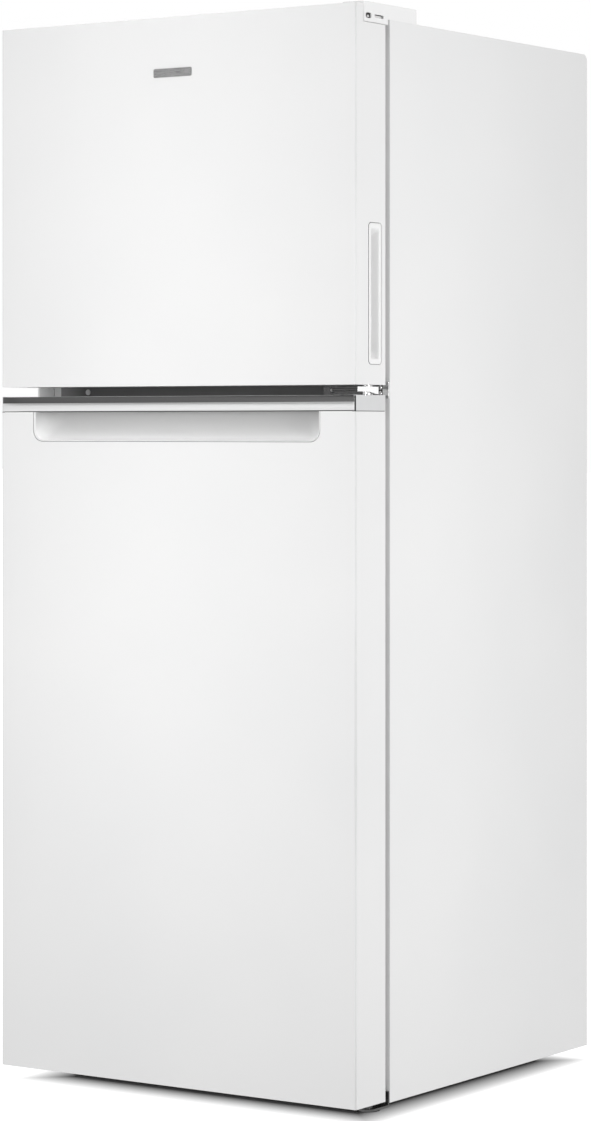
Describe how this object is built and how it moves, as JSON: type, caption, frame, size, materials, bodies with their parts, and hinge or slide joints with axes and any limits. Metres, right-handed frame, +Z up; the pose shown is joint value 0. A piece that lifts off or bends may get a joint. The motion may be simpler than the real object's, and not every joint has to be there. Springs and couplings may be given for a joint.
{
  "type": "top freezer refrigerator",
  "caption": "Upright refrigerator with a freezer door over a taller fresh-food door, recessed handle under a metal trim bar, shelves, drawers and running gear.",
  "frame": {"origin": "on the floor, under the middle of the bounding box", "axes": "+X to the right seen from the front, -Y out of the doors, +Z up"},
  "size_m": [0.6, 0.6616, 1.4945],
  "materials": {
    "painted_steel": "satin white enamel",
    "dark_painted_steel": "matt dark coated sheet",
    "insulation_foam": "rigid foam, unseen",
    "liner_plastic": "satin vacuum-formed sheet",
    "white_plastic": "satin moulded",
    "grip_plastic": "satin moulded",
    "light_grey_plastic": "fine moulded texture",
    "hinge_steel": "bright plated",
    "trim_metal": "satin anodised",
    "badge_metal": "brushed",
    "gasket_rubber": "soft pale grey vinyl",
    "black_rubber": "matt",
    "roller_plastic": "matt",
    "compressor_paint": "semi-gloss black",
    "condenser_paint": "matt black",
    "copper": "bare copper",
    "evaporator_aluminium": "bare",
    "motor_casing": "matt",
    "shelf_glass": "tempered, clear",
    "clear_plastic": "clear moulded",
    "lamp_plastic": "frosted"
  },
  "bodies": {
    "cabinet": {"cabinet_shell": "painted_steel", "rear_panel": "dark_painted_steel", "bottom_pan": "dark_painted_steel", "compressor_cover": "dark_painted_steel", "center_mullion": "dark_painted_steel", "cabinet_foam": "insulation_foam", "freezer_liner": "liner_plastic", "fridge_liner": "liner_plastic", "evaporator_cover": "liner_plastic", "air_duct": "liner_plastic", "top_hinge_cover": "white_plastic", "shelf_frames": "white_plastic", "crisper_cover": "white_plastic", "control_housing": "white_plastic", "freezer_shelf": "white_plastic", "hinge_hole_plugs": "light_grey_plastic", "drain_pan": "light_grey_plastic", "top_hinge_bracket": "hinge_steel", "center_hinge_bracket": "hinge_steel", "bottom_hinge_bracket": "hinge_steel", "hinge_screws": "hinge_steel", "roller_brackets": "hinge_steel", "compressor_feet": "black_rubber", "wall_spacers": "black_rubber", "power_inlet": "black_rubber", "compressor": "compressor_paint", "condenser": "condenser_paint", "filter_drier": "copper", "evaporator": "evaporator_aluminium", "fan_motor": "motor_casing", "glass_shelves": "shelf_glass", "lamp_lens": "lamp_plastic"},
    "freezer_door": {"freezer_door_skin": "painted_steel", "freezer_door_foam": "insulation_foam", "freezer_door_liner": "liner_plastic", "freezer_door_gasket": "gasket_rubber", "freezer_door_caps": "white_plastic", "freezer_side_grips": "grip_plastic", "freezer_door_bins": "clear_plastic", "door_badge": "badge_metal"},
    "fridge_door": {"fridge_door_skin": "painted_steel", "fridge_door_foam": "insulation_foam", "fridge_door_liner": "liner_plastic", "fridge_door_gasket": "gasket_rubber", "fridge_door_caps": "light_grey_plastic", "handle_scoop": "white_plastic", "handle_trim": "trim_metal", "fridge_door_bins": "clear_plastic"},
    "dairy_lid": {"dairy_cover": "clear_plastic"},
    "temperature_knob": {"temperature_dial": "light_grey_plastic"},
    "air_slider": {"freezer_air_slider": "light_grey_plastic"},
    "left_crisper": {"crisper_left": "clear_plastic"},
    "right_crisper": {"crisper_right": "clear_plastic"},
    "left_humidity_slider": {"humidity_slider_left": "light_grey_plastic"},
    "right_humidity_slider": {"humidity_slider_right": "light_grey_plastic"},
    "fan": {"evaporator_fan": "light_grey_plastic"},
    "left_roller": {"rear_roller_left": "roller_plastic"},
    "right_roller": {"rear_roller_right": "roller_plastic"},
    "left_leg": {"leveling_leg_left": "roller_plastic"},
    "right_leg": {"leveling_leg_right": "roller_plastic"}
  },
  "joints": [
    {"name": "freezer_door_hinge", "type": "hinge", "parent": "cabinet", "child": "freezer_door", "pos_m": [0.287, -0.282, 1.2375], "axis": [0, 0, 1], "range_deg": [0, 130]},
    {"name": "fridge_door_hinge", "type": "hinge", "parent": "cabinet", "child": "fridge_door", "pos_m": [0.287, -0.282, 0.498], "axis": [0, 0, 1], "range_deg": [0, 130]},
    {"name": "dairy_cover_hinge", "type": "hinge", "parent": "fridge_door", "child": "dairy_lid", "pos_m": [0, -0.26, 0.785], "axis": [1, 0, 0], "range_deg": [0, 80]},
    {"name": "temperature_dial_turn", "type": "hinge", "parent": "cabinet", "child": "temperature_knob", "pos_m": [-0.07, -0.066, 0.92525], "axis": [0, -1, 0], "range_deg": [0, 270]},
    {"name": "air_slider_travel", "type": "slide", "parent": "cabinet", "child": "air_slider", "axis": [1, 0, 0], "range_m": [0, 0.038]},
    {"name": "crisper_left_slide", "type": "slide", "parent": "cabinet", "child": "left_crisper", "axis": [0, -1, 0], "range_m": [0, 0.065]},
    {"name": "crisper_right_slide", "type": "slide", "parent": "cabinet", "child": "right_crisper", "axis": [0, -1, 0], "range_m": [0, 0.065]},
    {"name": "humidity_left_travel", "type": "slide", "parent": "left_crisper", "child": "left_humidity_slider", "axis": [1, 0, 0], "range_m": [0, 0.044]},
    {"name": "humidity_right_travel", "type": "slide", "parent": "right_crisper", "child": "right_humidity_slider", "axis": [1, 0, 0], "range_m": [0, 0.044]},
    {"name": "evaporator_fan_spin", "type": "hinge", "parent": "cabinet", "child": "fan", "pos_m": [0, 0.2045, 1.346], "axis": [0, -1, 0], "continuous": true},
    {"name": "rear_roller_left_spin", "type": "hinge", "parent": "cabinet", "child": "left_roller", "pos_m": [-0.23, 0.24, 0.01], "axis": [1, 0, 0], "continuous": true},
    {"name": "rear_roller_right_spin", "type": "hinge", "parent": "cabinet", "child": "right_roller", "pos_m": [0.23, 0.24, 0.01], "axis": [1, 0, 0], "continuous": true},
    {"name": "leveling_leg_left_travel", "type": "slide", "parent": "cabinet", "child": "left_leg", "axis": [0, 0, -1], "range_m": [0, 0.012]},
    {"name": "leveling_leg_right_travel", "type": "slide", "parent": "cabinet", "child": "right_leg", "axis": [0, 0, -1], "range_m": [0, 0.012]}
  ]
}
